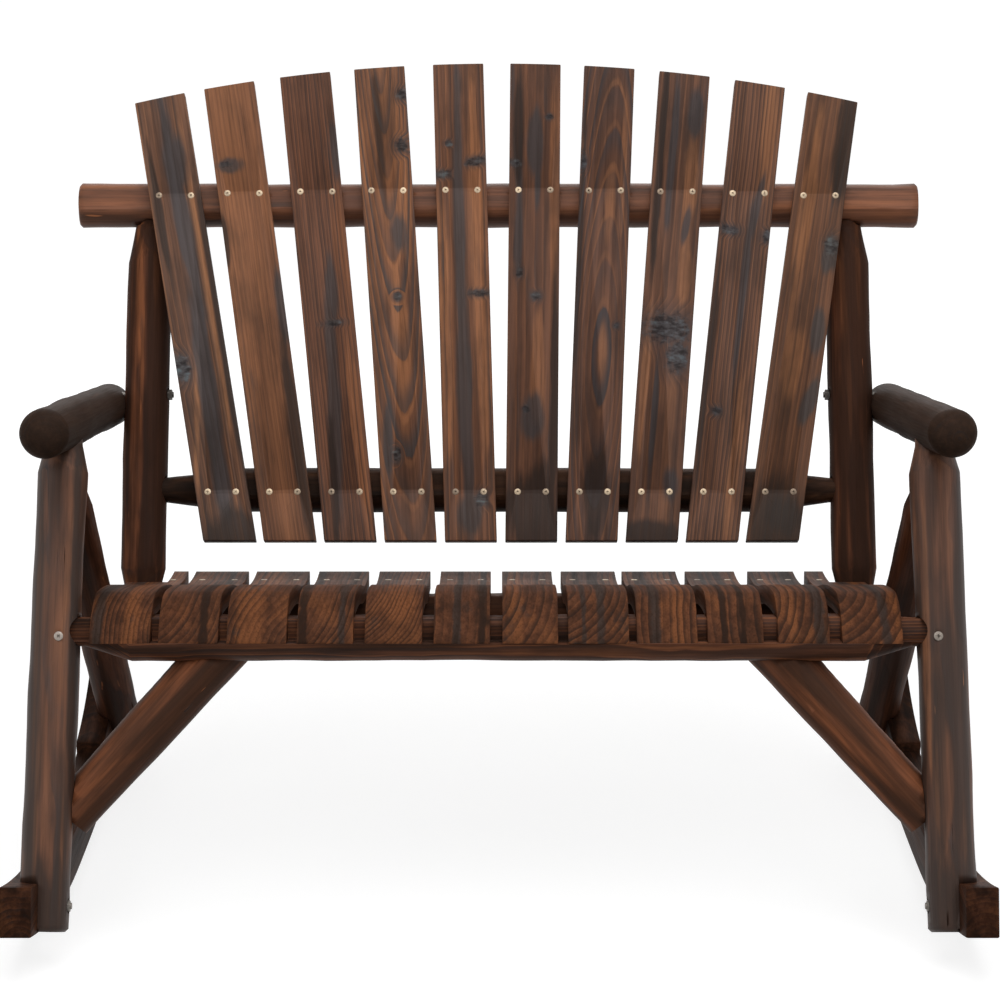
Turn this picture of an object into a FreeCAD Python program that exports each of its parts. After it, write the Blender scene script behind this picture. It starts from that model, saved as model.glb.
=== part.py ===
import FreeCAD, Part
import math
import operator
import os
import types

import Sketcher

# Driving dimensions in millimetres and degrees. Depth runs back from the runners' front ends and
# height runs up, both in the frame where the armrests lie level. rest_lean turns that frame back to
# the pose in which the bench rests on its runners.
SIZES = {
    "rest_lean": 9,
    "centre_depth": 432,
    "floor_lift": 44,
    "runner_inner": 556,
    "runner_thick": 40,
    "runner_height": 60,
    "runner_contact": 500,
    "runner_front": 498,
    "runner_rear": 362,
    "flat_reach": 100,
    "flat_radius": 6000,
    "front_radius": 1350,
    "rear_radius": 520,
    "step_rise": 16,
    "step_back": 172,
    "leg_radius": 30.5,
    "foot_inset": 3,
    "foot_ease": 4,
    "foot_depth": 73,
    "foot_height": 13,
    "leg_splay": 17.4,
    "leg_top_depth": 208,
    "leg_neck": 22,
    "leg_taper_start": 59,
    "leg_taper_end": 24,
    "leg_top_gap": 8,
    "rear_leg_radius": 29,
    "rear_leg_tip": 21,
    "rear_leg_taper": 80,
    "rear_foot_inset": 8,
    "rear_foot_depth": 775,
    "rear_foot_height": 145,
    "rear_top_share": 0.893,
    "arm_radius": 30,
    "arm_ease": 0.5,
    "arm_out": 6,
    "arm_cope": 3,
    "arm_height": 619,
    "arm_front": 55,
    "arm_rear": 660,
    "recline": 16.5,
    "post_inset": 73,
    "post_radius": 30,
    "post_neck": 21,
    "post_foot_neck": 22.5,
    "post_root": 12,
    "post_shoulder": 30,
    "post_swell": 66,
    "post_head": 14,
    "post_taper_start": 98,
    "post_taper_end": 46,
    "tenon_radius": 16.5,
    "tenon_swell": 0.5,
    "rear_rail_share": 0.4643,
    "rear_rail_lift": 5,
    "rear_rail_radius": 33,
    "rear_rail_short": 2,
    "rear_tenon": 26,
    "rear_taper": 34,
    "front_rail_share": 0.59,
    "front_rail_ahead": 4.65,
    "front_rail_radius": 36,
    "front_rail_past": 3,
    "front_tenon_radius": 18,
    "front_tenon": 34,
    "front_taper": 92,
    "ledge_drop": 10.7,
    "top_rail_rise": 578,
    "top_rail_radius": 30.5,
    "top_rail_chamfer": 3,
    "rail_horn": 98,
    "low_rail_rise": 174,
    "low_planed_flat": 2.5,
    "low_rail_short": 10,
    "low_tenon": 22,
    "low_taper": 118,
    "planed_flat": 3,
    "brace_radius": 29.5,
    "brace_top_radius": 33.5,
    "brace_low_share": 0.217,
    "brace_inset": 22,
    "brace_back": 22,
    "brace_reach": 230,
    "brace_drop": 8,
    "back_slats": 10,
    "back_slat_gap": 11.2,
    "back_slat_thick": 18,
    "back_slat_low": 96,
    "back_slat_top": 770,
    "fan_margin": 82.6,
    "fan_step": 2.05,
    "fan_skew": -0.6,
    "fan_shift": 3.5,
    "crown_radius": 2270,
    "crown_step": 26,
    "seat_slats": 12,
    "seat_margin": 23.75,
    "seat_shift": -3,
    "seat_slat_gap": 13.5,
    "seat_nose": 84,
    "seat_overhang": 33,
    "crest_rise": 43.5,
    "crest_thick": 27,
    "nose_thick": 29,
    "front_bearing": 58,
    "dip_drop": 13,
    "dip_share": 0.594,
    "dip_thick": 22,
    "dip_ahead": 15,
    "seat_hollow": 700,
    "seat_tail": 60,
    "seat_rear_rise": 54,
    "seat_rear_thick": 24,
    "rear_bearing": 25,
    "notch_gap": 8,
    "notch_ahead": 23,
    "screw_head": 4.4,
    "screw_shank": 2,
    "screw_length": 38,
    "countersink": 0.6,
    "lock_head": 5.6,
    "lock_length": 44,
    "lock_drop": 0.014,
    "lock_inset": 8,
    "lock_proud": 1.2,
    "top_screw_gap": 22,
    "top_screw_crown": 8,
    "top_screw_lift": 9,
    "low_screw_gap": 19,
    "low_screw_drop": 11,
    "seat_screw_share": 0.3,
    "bolt_radius": 4,
    "bolt_head": 8,
    "bolt_dome": 4,
    "bolt_rim": 1.2,
    "bolt_crown": 4.4,
    "bolt_end": 2,
    "nut_across": 13,
    "nut_thick": 6.5,
    "washer_radius": 9.5,
    "washer_thick": 1.5,
    "spot_radius": 10,
    "foot_tongue": 27,
    "front_bolt_share": 0.05,
    "rear_bolt_share": 0.035,
    "arm_bolt_lift": 16,
    "arm_bolt_inset": 11,
    "post_spot": 2,
    "foot_clear_height": 80,
    "tool_reach": 70,
    "centre_clear": 400,
}
# How much wider or narrower than nominal each seat slat is, from left to right.
SEAT_SLAT_SHARES = (1.05, 1.04, 1.04, 0.98, 1.0, 0.98, 0.97, 1.06, 1.06, 0.97, 0.9, 1.05)
# How far each back slat strays from the even fan, in degrees, from left to right.
FAN_STRAYS = (0, -0.5, -0.3, -0.4, 0, 0.2, 0, 0, 0.1, 0)
QUARTER_TURN = 90
SAME_POINT = 0.01


class Size:
    """A number together with the sheet formula that gives it."""

    def __init__(self, value, formula):
        self.value = value
        self.formula = formula

    def __add__(self, other):
        return combine(self, "+", other)

    def __radd__(self, other):
        return combine(other, "+", self)

    def __sub__(self, other):
        return combine(self, "-", other)

    def __rsub__(self, other):
        return combine(other, "-", self)

    def __mul__(self, other):
        return combine(self, "*", other)

    def __rmul__(self, other):
        return combine(other, "*", self)

    def __truediv__(self, other):
        return combine(self, "/", other)

    def __neg__(self):
        return combine(-1, "*", self)


OPERATIONS = {"+": operator.add, "-": operator.sub, "*": operator.mul, "/": operator.truediv}


def as_size(value):
    return value if isinstance(value, Size) else Size(float(value), f"{value:.6f}")


def combine(left, sign, right):
    left, right = as_size(left), as_size(right)
    value = OPERATIONS[sign](left.value, right.value)
    return Size(value, f"({left.formula} {sign} {right.formula})")


def sine(angle):
    return Size(math.sin(math.radians(angle.value)), f"sin({angle.formula})")


def cosine(angle):
    return Size(math.cos(math.radians(angle.value)), f"cos({angle.formula})")


def root(number):
    return Size(math.sqrt(number.value), f"sqrt({number.formula})")


def arc_sine(number):
    return Size(math.degrees(math.asin(number.value)), f"asin({number.formula})")


def arc_tangent(rise, run):
    value = math.degrees(math.atan2(rise.value, run.value))
    return Size(value, f"atan2({rise.formula}; {run.formula})")


doc = FreeCAD.newDocument("log_bench")
sheet = doc.addObject("Spreadsheet::Sheet", "Sizes")
for row, (alias, number) in enumerate(SIZES.items(), 1):
    sheet.set(f"A{row}", alias)
    sheet.set(f"B{row}", str(number))
    sheet.setAlias(f"B{row}", alias)
doc.recompute()
S = types.SimpleNamespace(**{alias: Size(number, f"Sizes.{alias}") for alias, number in SIZES.items()})
fits = doc.addObject("App::VarSet", "Fits")
nodes = []


def fit(name, size):
    """Keeps a worked-out size under a name of its own, bound to the formula that gives it."""
    fits.addProperty("App::PropertyFloat", name)
    fits.setExpression(name, size.formula)
    return Size(size.value, f"Fits.{name}")


def leg_axis(share):
    """A point of the front leg's axis, by its share of the way from foot to armrest."""
    foot = (S.runner_inner - S.foot_inset, S.foot_depth, S.foot_height)
    top = (leg_top_side, S.leg_top_depth, S.arm_height)
    return tuple(low + (high - low) * share for low, high in zip(foot, top))


def rear_leg_axis(share):
    """A point of the rear leg's axis, by its share of the way from foot to front leg."""
    foot = (S.runner_inner - S.rear_foot_inset, S.rear_foot_depth, S.rear_foot_height)
    return tuple(low + (high - low) * share for low, high in zip(foot, leg_axis(S.rear_top_share)))


# Sizes that follow from the driving ones, so that what is joined stays joined.
leg_top_side = fit("leg_top_side", S.runner_inner - S.leg_splay)
post_side = fit("post_side", S.runner_inner - S.post_inset)
arm_front_side = fit("arm_front_side", leg_top_side + S.arm_out)
arm_rear_side = fit("arm_rear_side", post_side + S.post_radius + S.arm_radius - S.arm_cope)
top_rail_half = fit("top_rail_half", post_side + S.rail_horn)
front_rail_depth = fit("front_rail_depth", leg_axis(S.front_rail_share)[1] - S.front_rail_ahead)
front_rail_height = fit("front_rail_height", leg_axis(S.front_rail_share)[2])
rear_rail_depth = fit("rear_rail_depth", rear_leg_axis(S.rear_rail_share)[1])
rear_rail_height = fit("rear_rail_height", rear_leg_axis(S.rear_rail_share)[2] + S.rear_rail_lift)
fan_pitch = fit("fan_pitch", (2 * (post_side - S.fan_margin) + S.back_slat_gap) / S.back_slats)
back_slat_width = fit("back_slat_width", fan_pitch - S.back_slat_gap)
seat_pitch = fit("seat_pitch", 2 * (post_side - S.seat_margin) / (S.seat_slats - 1))
seat_slat_width = fit("seat_slat_width", seat_pitch - S.seat_slat_gap)
seat_front = fit("seat_front", front_rail_depth - S.seat_overhang)
back_of_nose = fit("back_of_nose", seat_front + S.nose_thick)
seat_crest = fit("seat_crest", front_rail_height + S.crest_rise)
ledge_height = fit("ledge_height", front_rail_height - S.ledge_drop)
under_crest = fit("under_crest", seat_crest - S.crest_thick)
seat_dip = fit("seat_dip", seat_crest - S.dip_drop)
seat_dip_depth = fit("seat_dip_depth", front_rail_depth + S.dip_share * (rear_rail_depth - front_rail_depth))
seat_rear = fit("seat_rear", rear_rail_depth + S.seat_tail)
seat_rear_height = fit("seat_rear_height", rear_rail_height + S.seat_rear_rise)
under_rear = fit("under_rear", seat_rear_height - S.seat_rear_thick)
slat_plane = fit("slat_plane", S.top_rail_radius - S.planed_flat)
low_rail_radius = fit("low_rail_radius", slat_plane + S.low_planed_flat)
lean_roll = -S.rest_lean
back_roll = -(S.rest_lean + S.recline)


def finished(piece, label):
    """Marks a document object as one of the bench's pieces."""
    piece.Label = label
    nodes.append(piece)
    return piece


def rest_point(side, depth, height):
    """A point of the level frame, in the resting pose about the bench's own origin."""
    side, depth, height = as_size(side), as_size(depth), as_size(height)
    along = depth * cosine(S.rest_lean) + height * sine(S.rest_lean) - S.centre_depth
    up = height * cosine(S.rest_lean) - depth * sine(S.rest_lean) + S.floor_lift
    return side, along, up


def back_point(side, rise, forward):
    """A point of the reclined back: rise along the posts from the rear rail, forward off their plane."""
    rise, forward = as_size(rise), as_size(forward)
    depth = rear_rail_depth + rise * sine(S.recline) - forward * cosine(S.recline)
    height = rear_rail_height + rise * cosine(S.recline) + forward * sine(S.recline)
    return as_size(side), depth, height


def place(piece, point, pitch=0, roll=0):
    side, along, up = (part.formula for part in map(as_size, point))
    turn = f"rotation(0; {as_size(pitch).formula}; {as_size(roll).formula})"
    piece.setExpression("Placement", f"placement(vector({side}; {along}; {up}); {turn})")


def new_body(name):
    return doc.addObject("PartDesign::Body", name)


def draw(body, role, corners):
    """Draws a closed outline on one of the body's own planes.

    Each corner is (x, y) or (x, y, radius, side): the stretch to the next corner is then an arc that
    bulges to the left of the way (side 1) or to its right (side -1).
    """
    sketch = body.newObject("Sketcher::SketchObject", f"{body.Name}_outline")
    plane = next(feature for feature in body.Origin.OriginFeatures if feature.Role == role)
    sketch.AttachmentSupport = [(plane, "")]
    sketch.MapMode = "FlatFace"
    points = [FreeCAD.Vector(as_size(c[0]).value, as_size(c[1]).value, 0) for c in corners]
    ends = []
    for index, corner in enumerate(corners):
        here, there = points[index], points[(index + 1) % len(points)]
        if len(corner) == 2:
            curve = Part.LineSegment(here, there)
        else:
            curve = minor_arc(here, there, corner[2].value, corner[3])
        number = sketch.addGeometry(curve, False)
        starts_here = sketch.Geometry[number].StartPoint.distanceToPoint(here) < SAME_POINT
        ends.append((number, 1, 2) if starts_here else (number, 2, 1))
    for index, corner in enumerate(corners):
        number, start, finish = ends[index]
        follower = ends[(index + 1) % len(ends)]
        sketch.addConstraint(Sketcher.Constraint("Coincident", number, finish, follower[0], follower[1]))
        for kind, axis, distance in (("DistanceX", -2, corner[0]), ("DistanceY", -1, corner[1])):
            hold(sketch, number, start, kind, axis, as_size(distance))
        if len(corner) > 2:
            radius = sketch.addConstraint(Sketcher.Constraint("Radius", number, corner[2].value))
            sketch.setExpression(f"Constraints[{radius}]", corner[2].formula)
    return sketch


def minor_arc(here, there, radius, side):
    """The shorter arc between two points, bulging left of the way (side 1) or right of it (side -1)."""
    chord = there - here
    left = FreeCAD.Vector(-chord.y, chord.x, 0).normalize()
    centre = (here + there) / 2 - left * (side * math.sqrt(radius ** 2 - chord.Length ** 2 / 4))
    first, last = (here, there) if side < 0 else (there, here)
    from_angle, to_angle = (math.atan2(p.y - centre.y, p.x - centre.x) for p in (first, last))
    if to_angle < from_angle:
        to_angle += 2 * math.pi
    circle = Part.Circle(centre, FreeCAD.Vector(0, 0, 1), radius)
    return Part.ArcOfCircle(circle, from_angle, to_angle)


def hold(sketch, number, end, kind, axis, distance):
    """Ties one coordinate of a sketch point to its formula."""
    if distance.value == 0:
        sketch.addConstraint(Sketcher.Constraint("PointOnObject", number, end, axis))
        return
    constraint = sketch.addConstraint(Sketcher.Constraint(kind, number, end, distance.value))
    sketch.setExpression(f"Constraints[{constraint}]", distance.formula)


def padded(name, role, corners, thickness):
    body = new_body(name)
    pad = body.newObject("PartDesign::Pad", f"{name}_pad")
    pad.Profile = draw(body, role, corners)
    pad.setExpression("Length", as_size(thickness).formula)
    return body


def turned(name, corners):
    """A solid turned about its own upright axis from (radius, distance along the axis) corners."""
    body = new_body(name)
    sketch = draw(body, "XZ_Plane", corners)
    revolution = body.newObject("PartDesign::Revolution", f"{name}_turning")
    revolution.Profile = sketch
    revolution.ReferenceAxis = (sketch, ["V_Axis"])
    revolution.Angle = 360
    return body


def log(name, start, end, stations):
    """A log between two points of the level frame.

    Each station is (distance from the start, radius). A station may be given from the far end by a
    function of the log's length.
    """
    run = [last - first for first, last in zip(map(as_size, start), map(as_size, end))]
    length = root(run[0] * run[0] + run[1] * run[1] + run[2] * run[2])
    along = run[1] * cosine(S.rest_lean) + run[2] * sine(S.rest_lean)
    up = run[2] * cosine(S.rest_lean) - run[1] * sine(S.rest_lean)
    outline = []
    for station in stations:
        where = station[0](length) if callable(station[0]) else station[0]
        outline.append((station[1], where) + tuple(station[2:]))
    body = turned(name, [(0, outline[0][1])] + outline + [(0, outline[-1][1])])
    place(body, rest_point(*start), pitch=arc_tangent(run[0], up), roll=-arc_sine(along / length))
    return body


def from_end(distance):
    return lambda length: length - distance


def at_end(length):
    return length


def box(name, corner, sizes, roll):
    block = doc.addObject("Part::Box", name)
    for key, size in zip(("Length", "Width", "Height"), sizes):
        block.setExpression(key, as_size(size).formula)
    place(block, corner, roll=roll)
    return block


def cut(name, base, *tools):
    for index, tool in enumerate(tools):
        difference = doc.addObject("Part::Cut", f"{name}_cut_{index}")
        difference.Base = base
        difference.Tool = tool
        base = difference
    return base


def mirrored(piece, label):
    """The same piece for the other side of the bench."""
    twin = doc.addObject("Part::Mirroring", label)
    twin.Source = piece
    twin.Normal = FreeCAD.Vector(1, 0, 0)
    return twin


def pair(piece, name):
    """Finishes a right-hand piece and adds its left-hand twin."""
    finished(piece, f"{name}_right")
    finished(mirrored(piece, f"{name}_left"), f"{name}_left")


def runner_blank():
    """A curved plank: nearly flat under the load, with a rounder sweep up at each end."""
    tilt = S.flat_reach / S.flat_radius
    upright = root(1 - tilt * tilt)
    lift = S.flat_radius * (1 - upright)

    def sweep(side, radius, reach):
        """Centre, end direction and radius of the end sweep on one side of the flat."""
        centre = (side * (S.flat_reach - radius * tilt), lift + radius * upright)
        across = (side * reach - centre[0]) / radius
        return centre, across, -root(1 - across * across), radius

    def on(arc, offset):
        centre, across, down, radius = arc
        return centre[0] + across * (radius - offset), centre[1] + down * (radius - offset)

    height = S.runner_height
    front = sweep(-1, S.front_radius, S.runner_front)
    rear = sweep(1, S.rear_radius, S.runner_rear)
    step = sweep(1, S.rear_radius, S.step_back)
    joint = (S.flat_reach, lift)
    joint_top = (S.flat_reach - tilt * height, lift + upright * height)
    raised = height + S.step_rise
    corners = [
        on(front, 0) + (S.front_radius, -1),
        (-joint[0], joint[1], S.flat_radius, -1),
        joint + (S.rear_radius, -1),
        on(rear, 0),
        on(rear, raised) + (S.rear_radius - raised, 1),
        on(step, raised),
        on(step, height) + (S.rear_radius - height, 1),
        joint_top + (S.flat_radius - height, 1),
        (-joint_top[0], joint_top[1], S.front_radius - height, 1),
        on(front, height),
    ]
    body = padded("runner_blank", "YZ_Plane", corners, S.runner_thick)
    place(body, (S.runner_inner, S.runner_contact - S.centre_depth, 0))
    return body


def front_leg_blank():
    stations = [
        (0, S.leg_radius - S.foot_ease),
        (S.foot_ease, S.leg_radius),
        (from_end(S.leg_taper_start), S.leg_radius),
        (from_end(S.leg_taper_end), S.leg_neck),
        (from_end(S.leg_top_gap), S.leg_neck),
    ]
    return log("front_leg_blank", leg_axis(0), leg_axis(1), stations)


def rear_leg_blank():
    stations = [
        (0, S.rear_leg_radius),
        (from_end(S.rear_leg_taper), S.rear_leg_radius),
        (at_end, S.rear_leg_tip),
    ]
    return log("rear_leg_blank", rear_leg_axis(0), rear_leg_axis(1), stations)


def armrest_blank():
    radius = S.arm_radius
    dome = radius - S.arm_ease
    stations = [
        (0, S.arm_ease, radius, -1),
        (dome, radius),
        (from_end(dome), radius, radius, -1),
        (at_end, S.arm_ease),
    ]
    rear = (arm_rear_side, S.arm_rear, S.arm_height)
    front = (arm_front_side, S.arm_front, S.arm_height)
    return log("armrest_blank", rear, front, stations)


def post_blank():
    start = back_point(post_side, -S.post_root, 0)
    end = back_point(post_side, S.top_rail_rise + S.post_head, 0)
    shoulder = S.post_root + S.post_shoulder
    stations = [
        (0, S.tenon_radius),
        (shoulder, S.tenon_radius),
        (shoulder, S.post_foot_neck),
        (S.post_root + S.post_swell, S.post_radius),
        (from_end(S.post_taper_start), S.post_radius),
        (from_end(S.post_taper_end), S.post_neck),
        (from_end(S.post_taper_end), S.tenon_radius),
        (at_end, S.tenon_radius),
    ]
    return log("post_blank", start, end, stations)


def cross_log(name, depth, height, half, stations):
    """A log lying across the bench; the stations are given from each tip."""
    far = [(from_end(distance), radius) for distance, radius in reversed(stations)]
    return log(name, (-half, depth, height), (half, depth, height), list(stations) + far)


def top_rail_blank():
    point = back_point(0, S.top_rail_rise, 0)
    ends = [(0, S.top_rail_radius - S.top_rail_chamfer), (S.top_rail_chamfer, S.top_rail_radius)]
    return cross_log("top_rail_blank", point[1], point[2], top_rail_half, ends)


def tenoned(tenon_radius, tenon, taper, radius):
    """Stations of a rail's end: a slightly tapered tenon that swells to the full log."""
    return [(0, tenon_radius), (tenon, tenon_radius + S.tenon_swell), (taper, radius)]


def low_rail_blank():
    point = back_point(0, S.low_rail_rise, 0)
    ends = tenoned(S.tenon_radius, S.low_tenon, S.low_taper, low_rail_radius)
    return cross_log("low_rail_blank", point[1], point[2], post_side - S.low_rail_short, ends)


def front_rail_blank():
    ends = tenoned(S.front_tenon_radius, S.front_tenon, S.front_taper, S.front_rail_radius)
    half = leg_top_side + S.front_rail_past
    return cross_log("front_rail_blank", front_rail_depth, front_rail_height, half, ends)


def rear_rail_blank():
    ends = tenoned(S.tenon_radius, S.rear_tenon, S.rear_taper, S.rear_rail_radius)
    half = leg_top_side - S.rear_rail_short
    return cross_log("rear_rail_blank", rear_rail_depth, rear_rail_height, half, ends)


def brace_blank():
    side, depth, height = leg_axis(S.brace_low_share)
    foot = (side - S.brace_inset, depth + S.brace_back, height)
    top = (S.runner_inner - S.brace_reach, front_rail_depth + S.brace_back, front_rail_height - S.brace_drop)
    return log("brace_blank", foot, top, [(0, S.brace_radius), (at_end, S.brace_top_radius)])


def seat_slat_outline():
    """Side view of a bandsawn seat slat: rolled nose, shallow dip, flat seats on both rails."""
    crest = seat_front + S.seat_nose
    drop = seat_crest - ledge_height
    nose_radius = (S.seat_nose * S.seat_nose + drop * drop) / (2 * drop)
    dip_run = seat_dip_depth - crest
    convex = dip_run * dip_run / (2 * S.dip_drop)
    return [
        (seat_front, ledge_height, nose_radius, 1),
        (crest, seat_crest, convex, 1),
        (seat_dip_depth, seat_dip, S.seat_hollow, -1),
        (seat_rear, seat_rear_height),
        (seat_rear, under_rear),
        (rear_rail_depth - S.rear_bearing, under_rear, S.seat_hollow, 1),
        (seat_dip_depth - S.dip_ahead, seat_dip - S.dip_thick, convex, -1),
        (back_of_nose + S.front_bearing, under_crest),
        (back_of_nose, under_crest),
        (back_of_nose, ledge_height),
    ]


def seat_slat_middle(index):
    return seat_pitch * (index - (S.seat_slats.value - 1) / 2) + S.seat_shift


def fan_line(index):
    """Centre at the low end, and sideways slope, of a fanned back slat."""
    from_centre = index - (S.back_slats.value - 1) / 2
    tilt = S.fan_step * from_centre + S.fan_skew + FAN_STRAYS[index]
    return fan_pitch * from_centre + S.fan_shift, tilt


def back_slat_outline(index):
    """Front view of a fanned back slat with its top cut on the back's crown."""
    low_centre, tilt = fan_line(index)
    slope = sine(tilt) / cosine(tilt)
    half_across = back_slat_width / (2 * cosine(tilt))

    def edge(side, rise):
        return low_centre + side * half_across + slope * (rise - S.back_slat_low), rise

    def crown(side):
        """Height of the crown over one edge of the slat, by one step from the uncut height."""
        across = edge(side, S.back_slat_top - S.crown_step)[0]
        return S.back_slat_top - S.crown_radius + root(S.crown_radius * S.crown_radius - across * across)

    return [
        edge(-1, S.back_slat_low),
        edge(1, S.back_slat_low),
        edge(1, crown(1)) + (S.crown_radius, -1),
        edge(-1, crown(-1)),
    ]


def screw_master(name, head, length):
    """A countersunk screw, its head's face at the origin and its shank below."""
    depth = S.countersink * head
    return turned(name, [
        (0, 0), (head, 0), (S.screw_shank, -depth), (S.screw_shank, -length), (0, -length),
    ])


def group(label, master, places):
    """One node of identical fasteners, each a copy of the master at its own place."""
    copies = []
    for point, pitch, roll in places:
        copy = master.Shape.copy()
        base = FreeCAD.Vector(*(as_size(part).value for part in point))
        turn = FreeCAD.Rotation(0, as_size(pitch).value, as_size(roll).value)
        copy.Placement = FreeCAD.Placement(base, turn)
        copies.append(copy)
    feature = doc.addObject("Part::Feature", label)
    feature.Shape = Part.makeCompound(copies)
    return finished(feature, label)


def bore(name, point, radius, length):
    """A round cutting tool that runs outwards, along +X, from a point of the resting bench."""
    cylinder = doc.addObject("Part::Cylinder", name)
    cylinder.setExpression("Radius", as_size(radius).formula)
    cylinder.setExpression("Height", as_size(length).formula)
    place(cylinder, point, pitch=QUARTER_TURN)
    return cylinder


def at_side(point, side):
    """The same point at another distance from the bench's middle."""
    return (as_size(side),) + tuple(point[1:])


def both_sides(point):
    """Places of one sideways fastener on the right of the bench and on its left."""
    return [(point, QUARTER_TURN, 0), (at_side(point, -point[0]), -QUARTER_TURN, 0)]


def bolt_master(name, length):
    """A round-headed bolt: the underside of its head at the origin, its shank below."""
    return turned(name, [
        (0, S.bolt_dome), (S.bolt_crown, S.bolt_dome), (S.bolt_head, S.bolt_rim), (S.bolt_head, 0),
        (S.bolt_radius, 0), (S.bolt_radius, -length), (0, -length),
    ])


def nut_master():
    """A hexagon nut standing on the origin."""
    hexagon = doc.addObject("Part::Prism", "nut_hexagon")
    hexagon.Polygon = 6
    hexagon.setExpression("Circumradius", (S.nut_across / math.sqrt(3)).formula)
    hexagon.setExpression("Height", S.nut_thick.formula)
    thread = doc.addObject("Part::Cylinder", "nut_thread")
    thread.setExpression("Radius", S.bolt_radius.formula)
    thread.setExpression("Height", S.nut_thick.formula)
    return cut("nut", hexagon, thread)


runner_body = runner_blank()
front_leg_body = front_leg_blank()
rear_leg_body = rear_leg_blank()
armrest_body = armrest_blank()
post_body = post_blank()
top_rail_body = top_rail_blank()
low_rail_body = low_rail_blank()
front_rail_body = front_rail_blank()
rear_rail_body = rear_rail_blank()
brace_body = brace_blank()
post_twin = mirrored(post_body, "post_twin")

back_slat_bodies = []
for index in range(int(S.back_slats.value)):
    body = padded(f"back_slat_blank_{index + 1:02d}", "XZ_Plane", back_slat_outline(index), S.back_slat_thick)
    place(body, rest_point(*back_point(0, 0, slat_plane)), roll=back_roll)
    back_slat_bodies.append(body)

seat_slat_bodies = []
for index, share in enumerate(SEAT_SLAT_SHARES):
    width = seat_slat_width * share
    left = seat_slat_middle(index) - width / 2
    body = padded(f"seat_slat_blank_{index + 1:02d}", "YZ_Plane", seat_slat_outline(), width)
    place(body, rest_point(left, 0, 0), roll=lean_roll)
    seat_slat_bodies.append(body)

slat_screw = screw_master("slat_screw", S.screw_head, S.screw_length)
lock_screw = screw_master("lock_screw", S.lock_head, S.lock_length)
foot_bolt_length = S.runner_thick + S.foot_tongue + S.washer_thick + S.nut_thick + S.bolt_end
foot_bolt = bolt_master("foot_bolt", foot_bolt_length)
arm_bolt_seat = arm_rear_side + S.arm_radius - S.arm_bolt_inset
post_nut_seat = post_side - S.post_radius + S.post_spot
arm_bolt_rise = (S.arm_height + S.arm_bolt_lift - rear_rail_height) / cosine(S.recline)
arm_bolt = bolt_master("arm_bolt", arm_bolt_seat - post_nut_seat + S.nut_thick + S.bolt_end)
washer = turned("washer", [
    (S.bolt_radius, 0), (S.washer_radius, 0),
    (S.washer_radius, S.washer_thick), (S.bolt_radius, S.washer_thick),
])
nut = nut_master()
doc.recompute()

front_bolt = rest_point(*leg_axis(S.front_bolt_share))
rear_bolt = rest_point(*rear_leg_axis(S.rear_bolt_share))
arm_bolt_point = rest_point(*back_point(0, arm_bolt_rise, 0))
washer_seat = S.runner_inner - S.foot_tongue
foot_bolt_places = []
foot_washer_places = []
foot_nut_places = []
foot_bores = []
foot_spots = []
for name, point in (("front", front_bolt), ("rear", rear_bolt)):
    foot_bolt_places += both_sides(at_side(point, S.runner_inner + S.runner_thick))
    foot_washer_places += both_sides(at_side(point, washer_seat - S.washer_thick))
    foot_nut_places += both_sides(at_side(point, washer_seat - S.washer_thick - S.nut_thick))
    inside = at_side(point, S.centre_clear)
    foot_bores.append(bore(f"{name}_bolt_bore", inside, S.bolt_radius, S.runner_inner))
    spot_depth = washer_seat - S.centre_clear
    foot_spots.append(bore(f"{name}_spot_face", inside, S.spot_radius, spot_depth))
arm_bore = bore("arm_bolt_bore", at_side(arm_bolt_point, S.centre_clear), S.bolt_radius, S.runner_inner)
arm_head_spot = bore("arm_head_spot", at_side(arm_bolt_point, arm_bolt_seat), S.spot_radius, S.runner_thick)
arm_nut_spot = bore(
    "arm_nut_spot", at_side(arm_bolt_point, S.centre_clear), S.spot_radius, post_nut_seat - S.centre_clear)


def slat_screw_places(middle_rise, half_gap, crown=0):
    """Two screws through every back slat in one row across the back, lower by crown at its ends."""
    places = []
    last = int(S.back_slats.value) - 1
    for index in range(last + 1):
        low_centre, tilt = fan_line(index)
        rise = middle_rise - crown * (2 * index / last - 1) ** 2
        middle = low_centre + sine(tilt) / cosine(tilt) * (rise - S.back_slat_low)
        for side in (-1, 1):
            point = back_point(middle + side * half_gap, rise, slat_plane + S.back_slat_thick)
            places.append((rest_point(*point), 0, back_roll + QUARTER_TURN))
    return places


def seat_screw_places():
    """Screws through the seat slats' rear ends: two each, or one where a post is notched in."""
    start = FreeCAD.Vector(seat_dip_depth.value, seat_dip.value, 0)
    end = FreeCAD.Vector(seat_rear.value, seat_rear_height.value, 0)
    curve = minor_arc(start, end, S.seat_hollow.value, -1)
    across = rear_rail_depth.value - curve.Center.x
    height = curve.Center.y - math.sqrt(curve.Radius ** 2 - across ** 2)
    places = []
    last = len(SEAT_SLAT_SHARES) - 1
    for index, share in enumerate(SEAT_SLAT_SHARES):
        middle = seat_slat_middle(index)
        for side in (-1, 1):
            if (index, side) in ((0, -1), (last, 1)):
                continue
            across = side * share * seat_slat_width * S.seat_screw_share
            places.append((rest_point(middle + across, rear_rail_depth, height), 0, lean_roll))
    return places


def lock_screw_places():
    """One screw through each front leg into the front rail's tenon."""
    axis = leg_axis(S.front_rail_share - S.lock_drop)
    lean = arc_tangent(S.leg_top_depth - S.foot_depth, S.arm_height - S.foot_height)
    out = root(S.leg_radius * S.leg_radius - S.lock_inset * S.lock_inset) + S.lock_proud
    depth = axis[1] - out * cosine(lean)
    height = axis[2] + out * sine(lean)
    side = axis[0] - S.lock_inset
    roll = QUARTER_TURN - lean - S.rest_lean
    return [(rest_point(side, depth, height), 0, roll), (rest_point(-side, depth, height), 0, roll)]


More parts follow.
